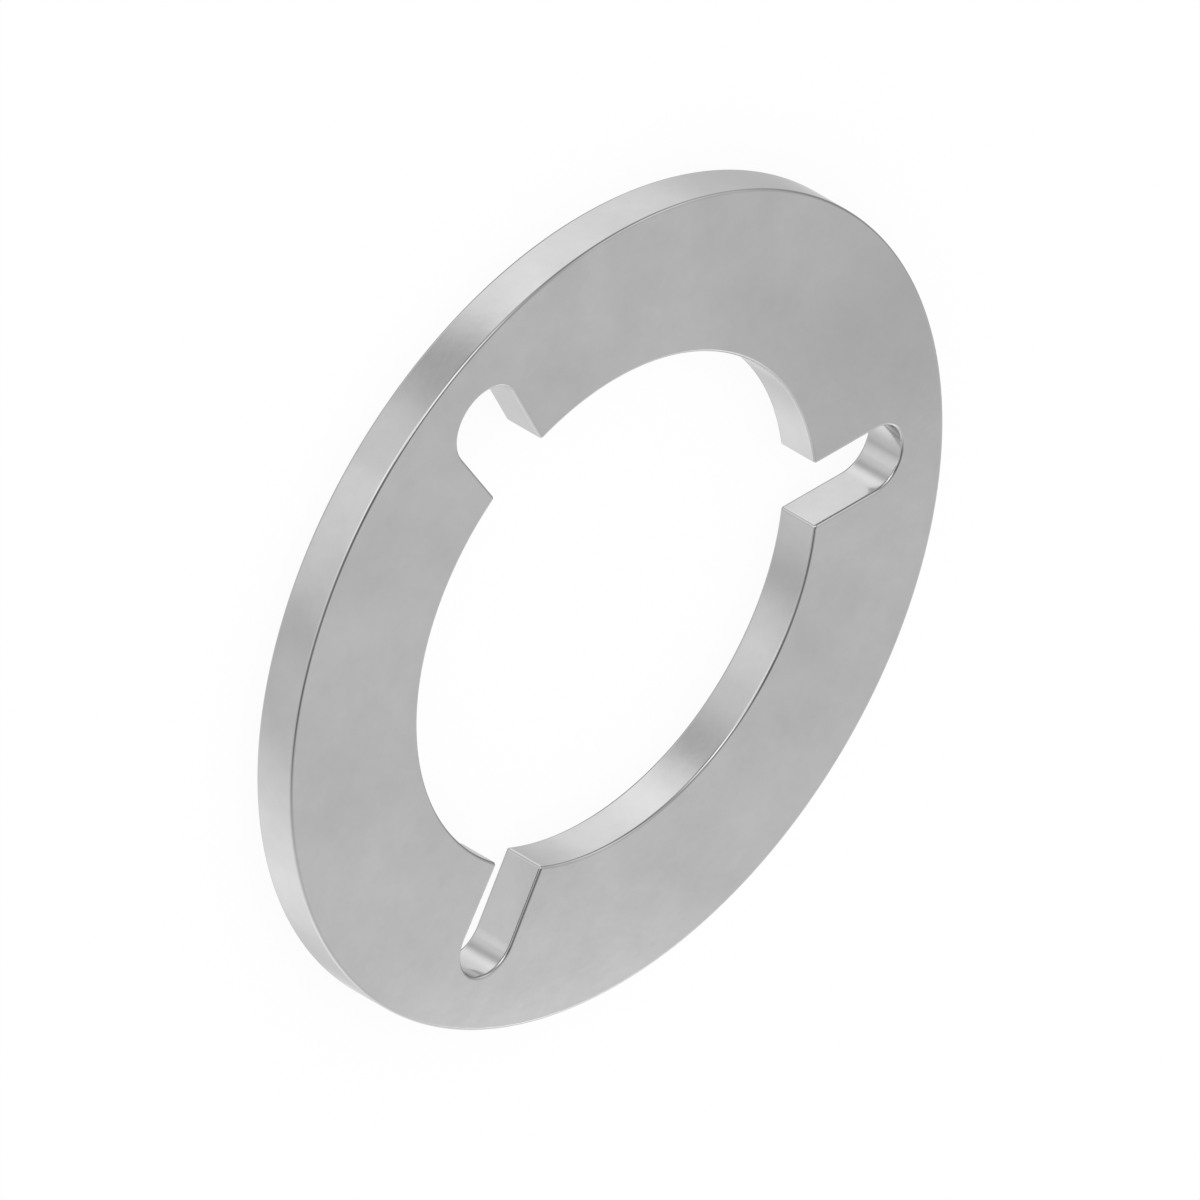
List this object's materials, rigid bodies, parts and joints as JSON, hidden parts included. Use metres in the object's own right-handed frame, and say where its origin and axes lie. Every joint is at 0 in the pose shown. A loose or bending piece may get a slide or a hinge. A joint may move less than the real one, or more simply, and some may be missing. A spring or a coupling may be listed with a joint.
{
  "type": "thrust washer",
  "caption": "Flat steel thrust washer: a ring with a round bore and radial slots that open into the bore, all edges lightly rounded.",
  "frame": {"origin": "centre of the bore on the bottom face, on which the washer lies", "axes": "+Z along the washer's axis, from the bottom face to the top face; +X along the middle of the plain slot"},
  "size_m": [0.049, 0.049, 0.0026],
  "materials": {
    "steel": "smooth satin, lightly rounded bright edges"
  },
  "bodies": {
    "root": {"thrust_washer": "steel"}
  },
  "joints": []
}
